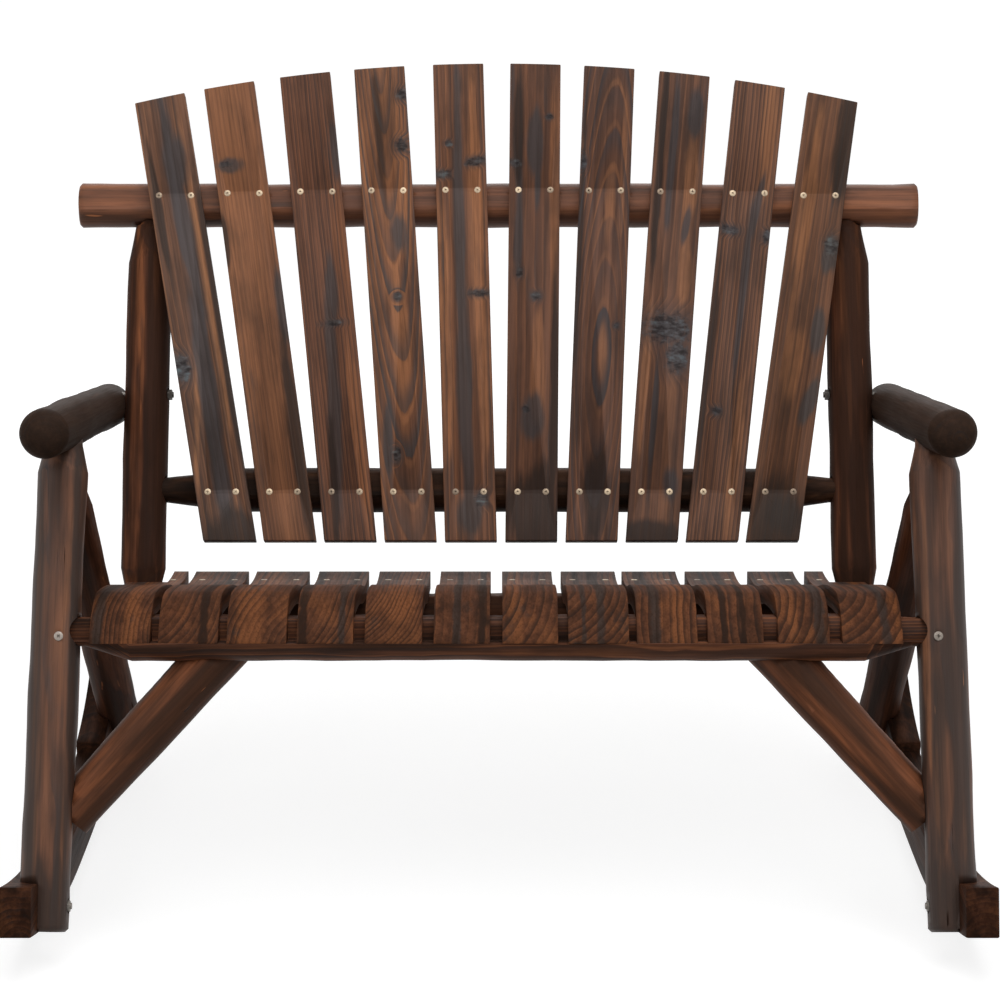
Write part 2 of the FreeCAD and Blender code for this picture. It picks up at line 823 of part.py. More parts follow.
top_screw_rise = S.top_rail_rise + S.top_screw_lift
top_screw_places = slat_screw_places(top_screw_rise, S.top_screw_gap, S.top_screw_crown)
top_screws = group("back_screws_top", slat_screw, top_screw_places)
low_screw_rise = S.low_rail_rise - S.low_screw_drop
low_screws = group("back_screws_low", slat_screw, slat_screw_places(low_screw_rise, S.low_screw_gap))
seat_screws = group("seat_screws_rear", slat_screw, seat_screw_places())
lock_screws = group("rail_lock_screws", lock_screw, lock_screw_places())

half_length = top_rail_half
front_rabbet = box(
    "front_rabbet", rest_point(-half_length, back_of_nose - S.tool_reach, ledge_height),
    (2 * half_length, S.tool_reach, S.tool_reach), lean_roll)
front_flat = box(
    "front_flat", rest_point(-half_length, back_of_nose, under_crest),
    (2 * half_length, S.tool_reach, S.tool_reach), lean_roll)
rear_flat = box(
    "rear_flat", rest_point(-half_length, rear_rail_depth - S.tool_reach / 2, under_rear),
    (2 * half_length, S.tool_reach, S.tool_reach), lean_roll)
slat_flat = box(
    "slat_flat", rest_point(*back_point(-half_length, 0, slat_plane + S.tool_reach)),
    (2 * half_length, S.tool_reach, S.back_slat_top), back_roll)
foot_clear = box(
    "foot_clear", (S.runner_inner, -S.centre_depth, -S.runner_height),
    (S.tool_reach, 3 * S.centre_depth, S.runner_height + S.foot_clear_height), 0)
notch_inner = post_side - S.post_radius - S.notch_gap
post_notch = box(
    "post_notch", rest_point(notch_inner, rear_rail_depth - S.notch_ahead, rear_rail_height),
    (2 * S.tool_reach, 2 * S.tool_reach, 2 * S.tool_reach), lean_roll)
post_notch_twin = mirrored(post_notch, "post_notch_twin")

pair(cut("runner", runner_body, *foot_bores), "runner")
pair(
    cut("front_leg", front_leg_body, runner_body, foot_clear, armrest_body, front_rail_body,
        foot_bores[0], foot_spots[0], lock_screws),
    "front_leg")
pair(
    cut("rear_leg", rear_leg_body, runner_body, foot_clear, front_leg_body, rear_rail_body,
        foot_bores[1], foot_spots[1]),
    "rear_leg")
pair(cut("armrest", armrest_body, post_body, arm_bore, arm_head_spot), "armrest")
outer_slats = (back_slat_bodies[-1], mirrored(back_slat_bodies[0], "first_slat_twin"))
pair(cut("post", post_body, low_rail_body, arm_bore, arm_nut_spot, *outer_slats), "back_post")
pair(cut("brace", brace_body, front_leg_body, front_rail_body), "corner_brace")
finished(cut("top_rail", top_rail_body, post_body, post_twin, slat_flat, top_screws), "top_back_rail")
finished(cut("low_rail", low_rail_body, slat_flat, low_screws), "lower_back_rail")
finished(cut("front_rail", front_rail_body, front_rabbet, front_flat, lock_screws), "front_seat_rail")
finished(cut("rear_rail", rear_rail_body, post_body, post_twin, rear_flat, seat_screws), "rear_seat_rail")
for index, body in enumerate(back_slat_bodies, 1):
    name = f"back_slat_{index:02d}"
    finished(cut(name, body, top_screws, low_screws), name)
for index, body in enumerate(seat_slat_bodies, 1):
    name = f"seat_slat_{index:02d}"
    tools = [seat_screws]
    if index == 1:
        tools.append(post_notch_twin)
    if index == len(seat_slat_bodies):
        tools.append(post_notch)
    finished(cut(name, body, *tools), name)
group("runner_bolts", foot_bolt, foot_bolt_places)
group("runner_washers", washer, foot_washer_places)
group("runner_nuts", nut, foot_nut_places)
arm_nut_point = at_side(arm_bolt_point, post_nut_seat - S.nut_thick)
group("armrest_bolts", arm_bolt, both_sides(at_side(arm_bolt_point, arm_bolt_seat)))
group("armrest_nuts", nut, both_sides(arm_nut_point))
doc.recompute()

for item in doc.Objects:
    if {"Invalid", "Error"} & set(item.State):
        raise RuntimeError(f"{item.Label} failed: {item.State}")
os.makedirs("parts", exist_ok=True)
for piece in nodes:
    if piece.Shape.isNull() or not piece.Shape.isValid():
        raise RuntimeError(f"{piece.Label} has no valid shape")
    piece.Shape.exportStep(f"parts/{piece.Label}.step")
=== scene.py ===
import math

import bmesh
import bpy
import numpy as np
from mathutils import Matrix, Vector, noise


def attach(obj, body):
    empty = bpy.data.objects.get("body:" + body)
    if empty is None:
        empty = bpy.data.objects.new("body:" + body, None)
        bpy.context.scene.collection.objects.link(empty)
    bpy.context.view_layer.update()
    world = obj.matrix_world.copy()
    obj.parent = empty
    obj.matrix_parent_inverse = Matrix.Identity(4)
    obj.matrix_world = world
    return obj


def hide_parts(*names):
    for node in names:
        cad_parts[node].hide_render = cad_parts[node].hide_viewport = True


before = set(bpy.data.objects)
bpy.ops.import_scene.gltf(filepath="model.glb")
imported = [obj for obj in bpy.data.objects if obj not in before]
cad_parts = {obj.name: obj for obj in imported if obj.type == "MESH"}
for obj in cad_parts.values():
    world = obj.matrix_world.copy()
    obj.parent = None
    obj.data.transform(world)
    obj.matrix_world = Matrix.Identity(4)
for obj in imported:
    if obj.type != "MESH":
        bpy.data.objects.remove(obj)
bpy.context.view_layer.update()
scene = bpy.context.scene

# The photograph's camera: where it stands, how far it looks down, its lens and how far it sees.
CAMERA_PLACE = (0.0, -3.590, 1.425)
CAMERA_PITCH = math.radians(14.53)
CAMERA_LENS = 102.96
CAMERA_SENSOR = 36.0
CAMERA_SHIFT = 0.0015
CAMERA_FAR = 200

# The floor's half width and grey, the distances over which its glow rises, and the glow there.
FLOOR_REACH = 60.0
FLOOR_GREY = (0.36, 0.36, 0.36, 1)
GLOW_NEAR, GLOW_FAR = 1.0, 4.0
GLOW_LOW, GLOW_HIGH = 0.80, 0.93
WHITE = (1, 1, 1, 1)
# The light that the surround gives, and what is added where it is seen or mirrored.
SURROUND_LIGHT = 0.28
SURROUND_SEEN = 0.72
# Each lamp's name, place, size and power. All are aimed at one point.
LAMP_AIM = Vector((0, 0, 0.5))
LAMPS = (
    ("overhead", (0.2, -1.3, 3.4), 3.0, 80),
    ("left_strip", (-3.0, -1.6, 1.6), 1.6, 16),
    ("right_strip", (3.0, -1.6, 1.6), 1.6, 14),
    ("back", (0.0, 3.4, 2.2), 2.4, 34),
)

# Points closer together than this are one point.
WELD = 1e-5
# A unit axis with more than this in one direction counts as pointing that way.
MOSTLY = 0.8
# A piece whose thickness spreads more than this share of its width counts as round.
ROUND_SHARE = 0.5
# A length so great that a spot scaled by it reaches through the whole piece.
THROUGH = 1e6

# How far the edges of slats and runners are eased, in how many steps, and which edges are.
SLAT_EASE = 0.0012
RUNNER_EASE = 0.002
EASE_STEPS = 2
EASED_LENGTH = 0.004
EASED_ANGLE = math.radians(40)
# Faces that meet at less than this are one flat face.
FLAT_ANGLE = math.radians(0.4)
# Edges sharper than this stay sharp in the shading.
BOARD_CREASE = math.radians(20)
LOG_CREASE = math.radians(32)
# How far a peeled log swells, and how often to a metre, with each swell's share.
LOG_SWELL = 0.0016
SWELLS = ((9, 1.0), (24, 0.5))
# How far apart a log's mesh is cut across, so that it can swell between its ends.
LOG_STEP = 0.02

# Head radius and length of the screws, their shank's radius and how many sides their round has.
SLAT_SCREW = (0.0044, 0.038)
LOCK_SCREW = (0.0056, 0.044)
SHANK_RADIUS = 0.002
SCREW_SIDES = 28
# The head in shares of its radius: radius and height from the crown to the rim, and its depth.
HEAD_PROFILE = ((0, 0.13), (0.45, 0.125), (0.8, 0.08), (1, 0))
HEAD_DEPTH = 0.6
# The cross recess in shares of the head: its reach, half width and depth, and how it narrows.
RECESS_REACH = 0.62
RECESS_HALF = 0.15
RECESS_DEPTH = 0.5
RECESS_TAPER = 0.45
# Each recess is turned this much further than the one before.
SCREW_TURN = math.radians(137.5)

# Colours of the carbonised wood, from the palest early wood to the blue-grey knots.
ORANGE_WOOD = (0.330, 0.135, 0.060)
EARLY_WOOD = (0.200, 0.086, 0.047)
WARM_WOOD = (0.118, 0.052, 0.030)
LATE_WOOD = (0.034, 0.017, 0.011)
CHAR = (0.066, 0.057, 0.056)
SOOT = (0.026, 0.017, 0.013)
KNOT_DARK = (0.012, 0.010, 0.010)
KNOT_GREY = (0.125, 0.148, 0.152)

# The wood's noises: how often to a metre across, along and out, their detail and roughness.
GRAIN = {
    "wander": ((14, 2.4, 14), 3, 0.5),
    "ripple": ((70, 11, 70), 3, 0.5),
    "fibre": ((430, 11, 430), 4, 0.6),
    "streak": ((105, 2.6, 105), 4, 0.55),
    "curl": ((150, 120, 150), 3, 0.6),
    "blotch": ((26, 7, 26), 4, 0.6),
    "char": ((30, 3.6, 30), 4, 0.6),
    "scratch": ((150, 16, 150), 2, 0.5),
    "knot": ((75, 150, 75), 3, 0.55),
}
TONE_DETAIL = 3
NOISE_MEAN = 0.5
# How far apart in the noise two pieces lie.
SEED_STEP = (0.61, 1.37, 0.83)
# How much ripple and wander fray the edges of spots, and what centres their sum on zero.
FRAY_RIPPLE, FRAY_WANDER, FRAY_CENTRE = 1.3, 0.8, -0.65
# The square of the length over which the pith turns away at an eye.
EYE_TURN = 0.002
# Where a spot sets in and is full, in shares of its size.
SPOT_EDGE = (1.2, 0.6)
# The same for a knot's halo and body, how much its edge frays, and how curls make its body ragged.
HALO_EDGE = (2.5, 0.6)
KNOT_EDGE = (1.4, 0.6)
KNOT_FRAY = 0.5
KNOT_CURL, KNOT_CURL_CENTRE = 1.8, 0.9
# How far a knot pushes the rings aside, in shares of its half height.
KNOT_PUSH = 0.9
# Within a ring, from 0 to 1: where the late wood starts and ends, and the pale line after it.
LATE_START, LATE_END = (0.3, 0.88), (1.0, 0.94)
PALE_START, PALE_END = (0.0, 0.06), (0.26, 0.12)
# The noise that makes some rings louder than others, and the loudness that it is mapped to.
LOUD_SEED, LOUD_SCALE = 3.1, 3.7
LOUD_RANGE = (0.3, 0.65, 0.3, 1.0)
# How far past its start each burn is full, how strong it gets, and what rings and halos add.
CHAR_FADE, CHAR_RING, CHAR_HALO = 0.2, 0.08, 0.7
ORANGE_FADE, ORANGE_MOST = 0.22, 0.75
SOOT_FADE, SOOT_MOST = 0.2, 0.95
# Noise levels between which a mark sets in, and how far past its start a scratch is full.
STREAK_RANGE = (0.36, 0.66)
BLOTCH_RANGE = (0.44, 0.72)
FIBRE_RANGE = (0.42, 0.78)
KNOT_CHAR_RANGE = (0.34, 0.58)
KNOT_GREY_RANGE = (0.52, 0.74)
SCRATCH_FADE = 0.05
# How much each mark hides of what lies below it, and burns hide of the pale lines.
BURN_COVER = 0.85
FIBRE_COVER = 0.5
KNOT_COVER = 0.9
KNOT_GREY_COVER = 0.8
LINE_LOSS = 0.9
# What fibre and char add to the roughness, and the relief of the rings and the fibre.
FIBRE_ROUGH, CHAR_ROUGH = 0.25, 0.06
RING_RELIEF, FIBRE_RELIEF = 0.5, 0.7
RELIEF_STRENGTH, RELIEF_DEPTH = 0.4, 0.0008

# The metals' noises, for age from fastener to fastener and for stains, and what they do.
AGE_SCALE, AGE_DETAIL = 9.0, 1
STAIN_SCALE, STAIN_DETAIL = 420.0, 3
AGE_SHARE, AGE_OFFSET, STAIN_SHARE = 1.6, -0.55, 0.5
DULL_RANGE = (0.2, 0.9)
STAIN_ROUGH = 0.3

# How a piece looks unless it says otherwise. The pith's place right of the piece and out of it, its
# lean along the piece, and the eye from which it bends away. The rings' spacing, contrast, ash and
# pale edge, and how far wander and ripple bend them. The scale of the patches, and the noise level
# at which char, orange, soot and scratches begin. The blotches' strength, the tint, the roughness
# and the gloss. Spots of its own: knots, grey char, amber and dark.
SLAT = {
    "pith": (0.11, -0.05), "lean": (0.0, 0.01), "eye": None,
    "spacing": 0.0065, "contrast": 0.75, "ash": 0.3, "edge": 0.3, "wander": 0.016, "ripple": 0.002,
    "patches": (22, 1.9, 22), "char": 0.62, "orange": 0.55, "soot": 0.2, "scratch": 0.9,
    "blotch": 0.45, "tint": (1, 1, 1), "rough": 0.46, "gloss": 0.14,
    "knots": (), "grey": (), "amber": (), "dark": (),
}
# What is particular to each back slat, from left to right.
BACK_SLATS = (
    {
        "spacing": 0.0085, "contrast": 0.55, "tint": (1.04, 1.14, 1.22),
        "knots": [(-0.07, -0.028, 0.016, 0.011)],
        "grey": [(0.16, 0.006, 0.22, 0.012, 2), (-0.10, 0.002, 0.22, 0.013, -2),
                 (0.22, 0.010, 0.05, 0.018)],
        "amber": [(-0.15, -0.020, 0.10, 0.005, -9), (0.05, 0.022, 0.25, 0.006)],
        "dark": [(0.15, -0.024, 0.12, 0.005), (-0.32, 0.0, 0.045, 0.05), (0.0, 0.033, 0.3, 0.006)],
    },
    {
        "pith": (-0.2, -0.04), "spacing": 0.0055, "contrast": 0.3, "orange": 0.40,
        "knots": [(0.211, -0.018, 0.004, 0.009)],
        "grey": [(0.209, -0.014, 0.013, 0.020), (0.0, 0.032, 0.05, 0.009)],
        "dark": [(0.105, -0.032, 0.04, 0.004), (-0.2, 0.026, 0.17, 0.010)],
    },
    {
        "pith": (0.16, -0.03), "spacing": 0.0046, "contrast": 0.7, "edge": 0.4,
        "tint": (0.92, 0.88, 0.88),
        "knots": [(-0.028, 0.007, 0.004, 0.013)],
        "grey": [(-0.15, -0.006, 0.17, 0.010, -3), (0.217, 0.032, 0.04, 0.006),
                 (0.02, 0.008, 0.05, 0.008)],
        "amber": [(-0.17, 0.024, 0.15, 0.008)],
        "dark": [(-0.25, -0.016, 0.10, 0.006, -3)],
    },
    {
        "pith": (0.002, -0.030), "lean": (0.0, 0.075), "spacing": 0.0046, "contrast": 0.9, "ash": 0.8,
        "edge": 0.7, "wander": 0.006, "ripple": 0.0014, "orange": 0.44,
        "knots": [(0.293, 0.030, 0.008, 0.007), (0.220, 0.024, 0.010, 0.009),
                  (0.005, 0.004, 0.006, 0.005), (-0.215, -0.012, 0.009, 0.005)],
        "grey": [(0.095, 0.012, 0.035, 0.013), (-0.19, -0.022, 0.06, 0.007, -4)],
        "amber": [(0.18, 0.020, 0.14, 0.012), (-0.05, 0.004, 0.12, 0.012), (0.22, -0.030, 0.1, 0.006)],
        "dark": [(0.23, -0.006, 0.12, 0.007)],
    },
    {
        "pith": (-0.13, -0.02), "spacing": 0.0082, "contrast": 0.55, "edge": 0.4,
        "knots": [(0.195, 0.021, 0.006, 0.013, 10), (0.178, -0.024, 0.005, 0.010),
                  (0.007, 0.019, 0.005, 0.013), (0.222, -0.015, 0.004, 0.005),
                  (-0.28, 0.014, 0.010, 0.008)],
        "grey": [(0.12, -0.003, 0.24, 0.007, -1), (-0.15, -0.003, 0.2, 0.010),
                 (-0.30, -0.004, 0.03, 0.022)],
        "amber": [(0.08, 0.020, 0.25, 0.010), (-0.10, 0.022, 0.12, 0.007), (-0.05, -0.027, 0.2, 0.008)],
    },
    {
        "pith": (0.2, -0.05), "spacing": 0.011, "contrast": 0.3, "char": 0.58,
        "tint": (0.76, 0.76, 0.78),
        "knots": [(0.260, 0.018, 0.004, 0.005), (0.193, -0.027, 0.005, 0.007),
                  (0.037, -0.020, 0.007, 0.005), (0.004, 0.004, 0.006, 0.007),
                  (-0.155, -0.008, 0.005, 0.005)],
        "grey": [(0.22, 0.000, 0.06, 0.012), (0.16, 0.003, 0.05, 0.005), (0.11, -0.022, 0.10, 0.007),
                 (-0.17, 0.000, 0.035, 0.018)],
        "amber": [(0.17, 0.027, 0.16, 0.008), (-0.10, 0.008, 0.085, 0.011)],
        "dark": [(0.24, -0.024, 0.10, 0.007), (-0.30, 0.0, 0.07, 0.05), (-0.12, 0.030, 0.2, 0.006)],
    },
    {
        "pith": (0.005, -0.018), "lean": (0.008, -0.068), "eye": -0.075, "spacing": 0.0042,
        "contrast": 0.9, "ash": 0.75, "edge": 0.8, "wander": 0.005, "ripple": 0.0012,
        "tint": (0.76, 0.79, 0.86),
        "knots": [(0.195, -0.032, 0.010, 0.005), (-0.035, 0.023, 0.004, 0.004)],
        "amber": [(0.14, 0.006, 0.06, 0.008), (-0.075, 0.006, 0.045, 0.008), (0.20, 0.024, 0.12, 0.004)],
        "dark": [(0.1, -0.032, 0.25, 0.004), (-0.26, 0.004, 0.08, 0.02)],
    },
    {
        "pith": (-0.16, -0.05), "spacing": 0.010, "contrast": 0.35, "tint": (0.82, 0.86, 0.92),
        "knots": [(-0.035, 0.003, 0.020, 0.028), (-0.074, 0.016, 0.021, 0.014)],
        "grey": [(0.270, 0.019, 0.035, 0.012), (0.112, 0.016, 0.028, 0.006, -8),
                 (0.22, -0.010, 0.13, 0.006), (-0.17, -0.008, 0.11, 0.005), (-0.25, 0.020, 0.03, 0.012)],
        "amber": [(0.18, 0.018, 0.07, 0.013), (0.05, 0.020, 0.05, 0.011), (-0.1, -0.024, 0.12, 0.007)],
        "dark": [(0.20, -0.026, 0.20, 0.006), (-0.32, 0.0, 0.02, 0.05)],
    },
    {
        "pith": (0.15, -0.03), "spacing": 0.0050, "contrast": 0.65, "edge": 0.5, "wander": 0.010,
        "tint": (0.88, 0.92, 0.98),
        "knots": [(0.110, -0.020, 0.006, 0.011), (0.107, 0.030, 0.008, 0.006),
                  (-0.146, -0.012, 0.006, 0.007)],
        "grey": [(0.15, 0.013, 0.06, 0.006, -6), (0.02, 0.006, 0.13, 0.005)],
        "amber": [(0.24, 0.018, 0.10, 0.012), (-0.2, 0.020, 0.13, 0.008)],
        "dark": [(-0.1, -0.03, 0.2, 0.005)],
    },
    {
        "pith": (-0.2, -0.04), "spacing": 0.0075, "contrast": 0.35, "orange": 0.54,
        "tint": (0.86, 0.88, 0.86),
        "knots": [(0.105, 0.025, 0.012, 0.009)],
        "grey": [(0.09, 0.026, 0.03, 0.013), (-0.02, 0.022, 0.035, 0.009),
                 (-0.118, 0.024, 0.035, 0.010, -12), (-0.28, 0.010, 0.03, 0.03)],
        "amber": [(0.15, -0.016, 0.15, 0.010), (-0.08, -0.004, 0.06, 0.014)],
        "dark": [(0.26, 0.024, 0.10, 0.014), (-0.29, 0.0, 0.085, 0.05)],
    },
)
SEAT_SLAT = dict(
    SLAT, contrast=0.75, ash=0.2, edge=0.25, wander=0.012, ripple=0.0015, patches=(30, 3, 30), char=0.60,
    orange=0.50, soot=0.40, tint=(0.62, 0.54, 0.47), gloss=0.04)
# Half the length of a stripe, more than half of any seat slat.
STRIPE_REACH = 0.5


def stripes(*places):
    """Spots that run down the whole of a seat slat, each given by its place right and its half width."""
    return [(0, right, STRIPE_REACH, half) for right, half in places]


# Each seat slat's pith, right of it and out of it, the spacing of its rings and the stripes down it.
SEAT_SLATS = (
    dict(pith=(0.14, -0.02), spacing=0.0060, grey=stripes((-0.024, 0.007)), amber=stripes((0.016, 0.010))),
    dict(pith=(-0.10, 0.05), spacing=0.0080, dark=stripes((0.018, 0.006))),
    dict(pith=(0.09, -0.06), spacing=0.0075, amber=stripes((-0.008, 0.018))),
    dict(pith=(-0.10, 0.05), spacing=0.0066, dark=stripes((-0.028, 0.006)), grey=stripes((0.020, 0.005))),
    dict(pith=(-0.09, 0.06), spacing=0.0046, amber=stripes((0.010, 0.022))),
    dict(pith=(-0.20, 0.01), spacing=0.0105, grey=stripes((-0.006, 0.006)), dark=stripes((0.024, 0.006))),
    dict(pith=(-0.10, 0.05), spacing=0.0095, amber=stripes((-0.018, 0.010))),
    dict(pith=(-0.08, 0.07), spacing=0.0080, grey=stripes((0.003, 0.006), (-0.018, 0.004))),
    dict(pith=(0.18, -0.01), spacing=0.0085, grey=stripes((-0.014, 0.008)), amber=stripes((0.014, 0.012))),
    dict(pith=(0.17, 0.0), spacing=0.0105, dark=stripes((-0.014, 0.005), (0.010, 0.004))),
    dict(pith=(-0.10, 0.03), spacing=0.0098, grey=stripes((0.020, 0.008)), amber=stripes((-0.012, 0.008))),
    dict(pith=(-0.08, 0.08), spacing=0.0100, grey=stripes((0.012, 0.007)), amber=stripes((0.028, 0.006))),
)
LOG = dict(
    SLAT, pith=(0.004, 0.0), wander=0.02, char=0.58, contrast=0.35, edge=0.15, orange=0.54, soot=0.54,
    patches=(38, 2.2, 38), scratch=0.73, rough=0.38)
# What is particular to each kind of log and to the runners.
LOG_LOOKS = {
    "front_leg": {
        "tint": (0.96, 0.96, 0.98), "gloss": 0.25, "soot": 0.58,
        "amber": [(0.06, -0.020, 0.16, 0.003), (-0.16, -0.014, 0.10, 0.003), (-0.2, 0.018, 0.08, 0.002)],
        "dark": [(-0.30, 0.0, 0.11, 0.1), (0.10, 0.024, 0.30, 0.006), (-0.05, -0.028, 0.25, 0.004)],
    },
    "back_post": {
        "tint": (0.88, 0.75, 0.70), "gloss": 0.02, "soot": 0.66,
        "amber": [(0.16, -0.010, 0.13, 0.006, 2), (0.20, 0.012, 0.08, 0.004), (0.04, -0.004, 0.10, 0.003)],
        "dark": [(-0.22, 0.006, 0.16, 0.014), (-0.05, 0.024, 0.24, 0.006)],
    },
    "armrest": {
        "tint": (0.72, 0.80, 0.84), "gloss": 0.012, "soot": 0.85, "orange": 0.7, "scratch": 0.9,
        "blotch": 0.15, "contrast": 0.2,
    },
    "corner_brace": {"tint": (1.26, 1.04, 0.88), "gloss": 0.07, "soot": 0.58},
    "rear_leg": {"tint": (0.66, 0.56, 0.52), "gloss": 0.015, "soot": 0.60},
    "lower_back_rail": {"tint": (0.40, 0.42, 0.42), "gloss": 0.03, "soot": 0.6},
    "front_seat_rail": {
        "tint": (0.90, 0.82, 0.80), "gloss": 0.05, "spacing": 0.0042, "contrast": 0.65, "edge": 0.7,
        "wander": 0.006, "scratch": 0.9,
    },
    "rear_seat_rail": {"tint": (0.6, 0.54, 0.5), "gloss": 0.03},
    "top_back_rail": {"tint": (1.18, 1.04, 0.93), "gloss": 0.2, "spacing": 0.006, "soot": 0.42},
    "runner": {"tint": (0.34, 0.31, 0.30), "gloss": 0.02, "scratch": 0.9},
}


class Graph:
    """A node tree that is written as nested calls: most helpers return an output socket."""

    # A Mix node has sockets for every type of data. These are the ones for colours.
    MIX_FACTOR, MIX_FIRST, MIX_SECOND, MIX_RESULT = 0, 6, 7, 2

    def __init__(self, tree):
        self.tree = tree

    def node(self, kind, inputs=(), **settings):
        node = self.tree.nodes.new(kind)
        for name, value in settings.items():
            setattr(node, name, value)
        for key, value in dict(inputs).items():
            self.feed(node.inputs[key], value)
        return node

    def feed(self, socket, value):
        if isinstance(value, bpy.types.NodeSocket):
            self.tree.links.new(value, socket)
        else:
            socket.default_value = value

    def math(self, operation, first, second=0.0, third=0.0):
        inputs = {0: first, 1: second, 2: third}
        return self.node("ShaderNodeMath", inputs, operation=operation).outputs[0]

    def length(self, vector):
        return self.node("ShaderNodeVectorMath", {0: vector}, operation="LENGTH").outputs["Value"]

    def place(self):
        return self.node("ShaderNodeTexCoord").outputs["Object"]

    def stretched(self, vector, scale, offset=(0, 0, 0)):
        inputs = {"Vector": vector, "Scale": scale, "Location": offset}
        return self.node("ShaderNodeMapping", inputs).outputs[0]

    def noise(self, vector, detail, roughness=0.5, scale=1.0):
        inputs = {"Vector": vector, "Scale": scale, "Detail": detail, "Roughness": roughness}
        return self.node("ShaderNodeTexNoise", inputs).outputs["Fac"]

    def smooth(self, value, low, high, out_low=0.0, out_high=1.0):
        inputs = {
            "Value": value, "From Min": low, "From Max": high, "To Min": out_low, "To Max": out_high,
        }
        return self.node("ShaderNodeMapRange", inputs, interpolation_type="SMOOTHSTEP").outputs[0]

    def mix(self, factor, first, second, blend="MIX"):
        node = self.node("ShaderNodeMix", data_type="RGBA", blend_type=blend)
        self.feed(node.inputs[self.MIX_FACTOR], factor)
        for socket, colour in ((self.MIX_FIRST, first), (self.MIX_SECOND, second)):
            linked = isinstance(colour, bpy.types.NodeSocket)
            self.feed(node.inputs[socket], colour if linked else (*colour, 1.0))
        return node.outputs[self.MIX_RESULT]

    def seen(self):
        """1 where a ray comes straight from the camera or from a mirroring surface, and else 0."""
        rays = self.node("ShaderNodeLightPath").outputs
        return self.math("MAXIMUM", rays["Is Camera Ray"], rays["Is Glossy Ray"])


def new_material(name):
    """An empty material, with its node graph and its shader."""
    material = bpy.data.materials.new(name)
    material.use_nodes = True
    return material, Graph(material.node_tree), material.node_tree.nodes["Principled BSDF"]


def board_frame(node):
    """Axes and origin of a long piece: across it, along it and out of its face.

    The face of a flat piece is its wide side, upward or to the front. The face of a round piece is its
    front, or its top if it runs from front to back.
    """
    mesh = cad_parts[node].data
    mesh.calc_loop_triangles()
    corners = np.array([[mesh.vertices[i].co for i in t.vertices] for t in mesh.loop_triangles], float)
    areas = np.array([t.area for t in mesh.loop_triangles])
    centres = corners.mean(1)
    origin = (centres * areas[:, None]).sum(0) / areas.sum()
    offsets = centres - origin
    spread = (offsets * areas[:, None]).T @ offsets
    spans, axes = np.linalg.eigh(spread)
    out, along = axes[:, 0], axes[:, 2]
    along = along * np.sign(along[np.abs(along).argmax()])
    if spans[0] > ROUND_SHARE * spans[1]:
        facing = np.array((0, 0, 1) if abs(along[1]) > MOSTLY else (0, -1, 0))
        out = facing - along * (along @ facing)
        out = out / np.linalg.norm(out)
    if (out[2] < 0 if abs(out[2]) > MOSTLY else out[1] > 0):
        out = -out
    across = np.cross(along, out)
    return Matrix((across, along, out)), Vector(origin)


def board_coordinates(graph, node):
    """Shader coordinates in the piece's own frame, in metres."""
    turn, origin = board_frame(node)
    inputs = {"Vector": graph.place(), "Location": -(turn @ origin), "Rotation": turn.to_euler()}
    return graph.node("ShaderNodeMapping", inputs).outputs[0]


def oval(graph, board, spot):
    """Distance from a spot's middle in shares of its size, so that 1 is its rim.

    A spot is (up, right, half height, half width) from the piece's middle, in metres. A fifth number
    turns it anticlockwise, in degrees.
    """
    up, right, tall, wide, *turn = spot
    inputs = {
        "Vector": board, "Location": (right, up, 0), "Scale": (wide, tall, THROUGH),
        "Rotation": (0, 0, math.radians(turn[0] if turn else 0)),
    }
    return graph.length(graph.node("ShaderNodeMapping", inputs, vector_type="TEXTURE").outputs[0])


def spots(graph, board, frayed, places):
    """How much of a point lies in any of the spots, whose edges are frayed along the grain."""
    inside = 0.0
    for spot in places:
        far = graph.math("ADD", oval(graph, board, spot), frayed)
        inside = graph.math("MAXIMUM", inside, graph.smooth(far, *SPOT_EDGE))
    return inside


def grain_noises(graph, board, look, seed):
    """The noises of one piece, from the slow wander of its rings to its single fibres."""
    shifted = graph.stretched(board, (1, 1, 1), [seed * step for step in SEED_STEP])
    grain = {}
    for kind, (scale, detail, roughness) in GRAIN.items():
        grain[kind] = graph.noise(graph.stretched(shifted, scale), detail, roughness)
    grain["tone"] = graph.noise(graph.stretched(shifted, look["patches"]), TONE_DETAIL)
    grain["wander"] = graph.math("SUBTRACT", grain["wander"], NOISE_MEAN)
    slow = graph.math("MULTIPLY_ADD", grain["wander"], FRAY_WANDER, FRAY_CENTRE)
    grain["frayed"] = graph.math("MULTIPLY_ADD", grain["ripple"], FRAY_RIPPLE, slow)
    return grain


def ring_reach(graph, board, grain, look):
    """Distance from the pith, which lies aslant in the piece or bends away on both sides of an eye."""
    across, along, out = graph.node("ShaderNodeSeparateXYZ", {0: board}).outputs
    pith_across, pith_depth = look["pith"]
    lean_across, lean_depth = look["lean"]
    if look["eye"] is None:
        run = along
    else:
        run = graph.math("SUBTRACT", along, look["eye"])
        run = graph.math("SQRT", graph.math("MULTIPLY_ADD", run, run, EYE_TURN))
    aside = graph.math("SUBTRACT", across, graph.math("MULTIPLY_ADD", along, lean_across, pith_across))
    below = graph.math("SUBTRACT", out, graph.math("MULTIPLY_ADD", run, lean_depth, pith_depth))
    square = graph.math("ADD", graph.math("MULTIPLY", aside, aside), graph.math("MULTIPLY", below, below))
    reach = graph.math("MULTIPLY_ADD", grain["wander"], look["wander"], graph.math("SQRT", square))
    return graph.math("MULTIPLY_ADD", grain["ripple"], look["ripple"], reach)


